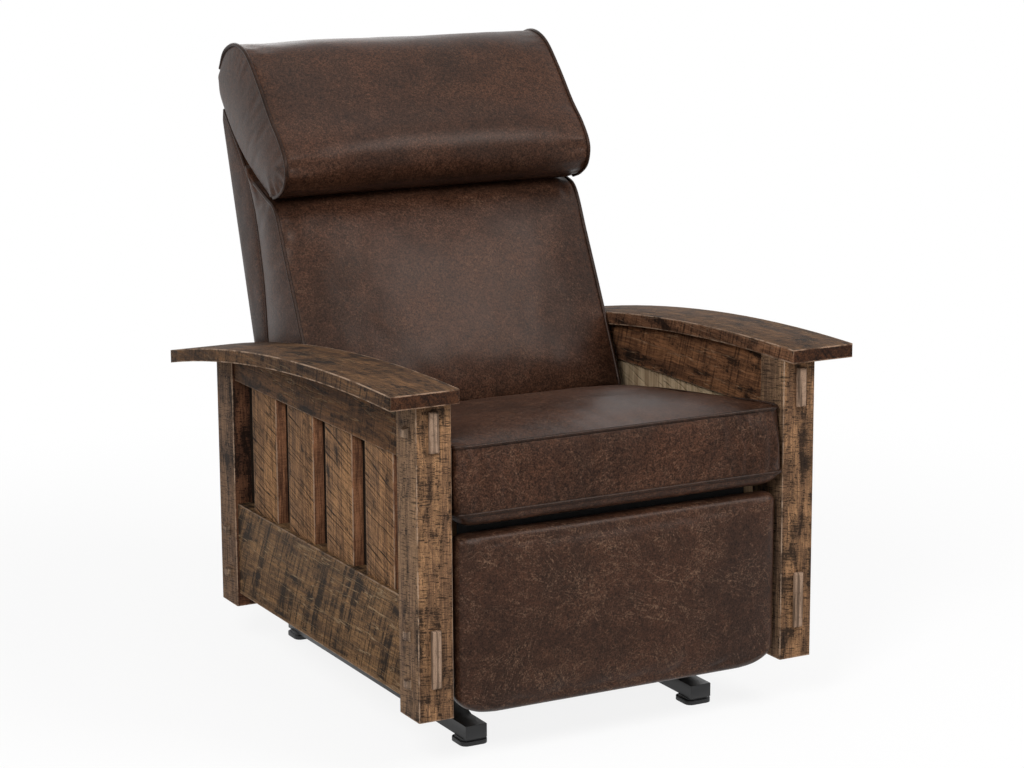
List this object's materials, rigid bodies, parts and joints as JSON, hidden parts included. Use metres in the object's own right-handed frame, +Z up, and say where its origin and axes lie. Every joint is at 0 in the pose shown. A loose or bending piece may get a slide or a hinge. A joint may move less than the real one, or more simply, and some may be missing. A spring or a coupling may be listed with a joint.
{
  "type": "rocker recliner",
  "caption": "Rocker recliner with slatted weathered-wood side frames, thick leather seat, lumbar and head cushions, and a folding footrest on parallel links.",
  "frame": {"origin": "on the floor, below the centre of the whole chair's box", "axes": "+Z up, the sitter faces -Y, +X to the left hand of the sitter"},
  "size_m": [0.868, 0.9793, 1.1174],
  "materials": {
    "weathered_wood": "rough-sawn and weathered",
    "dark_weathered_wood": "rough-sawn and dark",
    "bare_wood": "plain, sanded",
    "plywood": "plain",
    "brown_leather": "soft, slightly glossy, pebbled",
    "black_steel": "satin black",
    "zinc_steel": "zinc plated",
    "glide_plastic": "matte",
    "webbing": "woven strap"
  },
  "bodies": {
    "base": {"base_rail_left": "black_steel", "base_rail_right": "black_steel", "base_front_crossbar": "black_steel", "base_rear_crossbar": "black_steel", "foot_glides": "glide_plastic", "spring_lower_brackets": "zinc_steel", "rocker_springs": "zinc_steel"},
    "rocker_frame": {"rocker_cam_left": "bare_wood", "rocker_cam_right": "bare_wood", "spring_upper_brackets": "zinc_steel", "frame_front_tube": "black_steel", "frame_rear_tube": "black_steel", "frame_plate_left": "black_steel", "frame_plate_right": "black_steel", "front_leg_left": "weathered_wood", "front_leg_right": "weathered_wood", "rear_leg_left": "weathered_wood", "rear_leg_right": "weathered_wood", "lower_rail_left": "weathered_wood", "lower_rail_right": "weathered_wood", "upper_rail_left": "dark_weathered_wood", "upper_rail_right": "dark_weathered_wood", "slats_left": "weathered_wood", "slats_right": "weathered_wood", "arm_left": "dark_weathered_wood", "arm_right": "dark_weathered_wood", "frame_pegs": "weathered_wood", "frame_bolts": "zinc_steel"},
    "lift_links": {"lift_link_left": "zinc_steel", "lift_link_right": "zinc_steel"},
    "seat": {"seat_plate_left": "black_steel", "seat_plate_right": "black_steel", "seat_rail_left": "plywood", "seat_rail_right": "plywood", "seat_cross_rails": "plywood", "seat_webbing": "webbing", "seat_cushion": "brown_leather"},
    "footrest_rear_links": {"rear_link_left": "zinc_steel", "rear_link_right": "zinc_steel", "torque_tube": "zinc_steel"},
    "footrest_front_links": {"front_link_left": "zinc_steel", "front_link_right": "zinc_steel"},
    "footrest_carriers": {"carrier_link_left": "zinc_steel", "carrier_link_right": "zinc_steel"},
    "footrest_controls": {"control_link_left": "zinc_steel", "control_link_right": "zinc_steel"},
    "footrest": {"footrest_bracket_left": "zinc_steel", "footrest_bracket_right": "zinc_steel", "footrest_board": "plywood", "footrest_pad": "brown_leather"},
    "back": {"back_bracket_left": "zinc_steel", "back_bracket_right": "zinc_steel", "back_post_left": "plywood", "back_post_right": "plywood", "back_cross_rails": "plywood", "back_webbing": "webbing", "back_panel": "brown_leather", "back_walls": "brown_leather", "lumbar_cushion": "brown_leather", "headrest_cushion": "brown_leather"}
  },
  "joints": [
    {"name": "rock", "type": "hinge", "parent": "base", "child": "rocker_frame", "pos_m": [0, 0.01534, 0.36], "axis": [-1, 0, 0], "range_deg": [-6, 10], "stiffness_Nm_per_rad": 400, "deforming": ["rocker_springs"]},
    {"name": "recline", "type": "hinge", "parent": "seat", "child": "back", "pos_m": [0, 0.23934, 0.35], "axis": [-1, 0, 0], "range_deg": [0, 38]},
    {"name": "seat_tilt", "type": "hinge", "parent": "rocker_frame", "child": "seat", "pos_m": [0, 0.13934, 0.265], "axis": [-1, 0, 0], "range_deg": [0, 6]},
    {"name": "lift", "type": "hinge", "parent": "rocker_frame", "child": "lift_links", "pos_m": [0, -0.06066, 0.215], "axis": [-1, 0, 0], "range_deg": [0, 20.7]},
    {"name": "footrest_extend", "type": "hinge", "parent": "seat", "child": "footrest_rear_links", "pos_m": [0, -0.33066, 0.401], "axis": [-1, 0, 0], "range_deg": [0, 90]},
    {"name": "footrest_front_link", "type": "hinge", "parent": "seat", "child": "footrest_front_links", "pos_m": [0, -0.28066, 0.381], "axis": [-1, 0, 0], "range_deg": [0, 90]},
    {"name": "footrest_carrier", "type": "hinge", "parent": "footrest_rear_links", "child": "footrest_carriers", "pos_m": [0, -0.21094, 0.17585], "axis": [-1, 0, 0], "range_deg": [-90, 0]},
    {"name": "footrest_control", "type": "hinge", "parent": "footrest_front_links", "child": "footrest_controls", "pos_m": [0, -0.18911, 0.20883], "axis": [-1, 0, 0], "range_deg": [-90, 0]},
    {"name": "footrest_board_turn", "type": "hinge", "parent": "footrest_carriers", "child": "footrest", "pos_m": [0, -0.37266, 0.272], "axis": [-1, 0, 0], "range_deg": [0, 90]}
  ],
  "couplings": [
    {"joint": "seat_tilt", "follows": "recline", "ratio": 0.15789},
    {"joint": "lift", "follows": "recline", "ratio": 0.54474},
    {"joint": "footrest_front_link", "follows": "footrest_extend", "ratio": 1},
    {"joint": "footrest_carrier", "follows": "footrest_extend", "ratio": -1},
    {"joint": "footrest_control", "follows": "footrest_extend", "ratio": -1},
    {"joint": "footrest_board_turn", "follows": "footrest_extend", "ratio": 1}
  ]
}
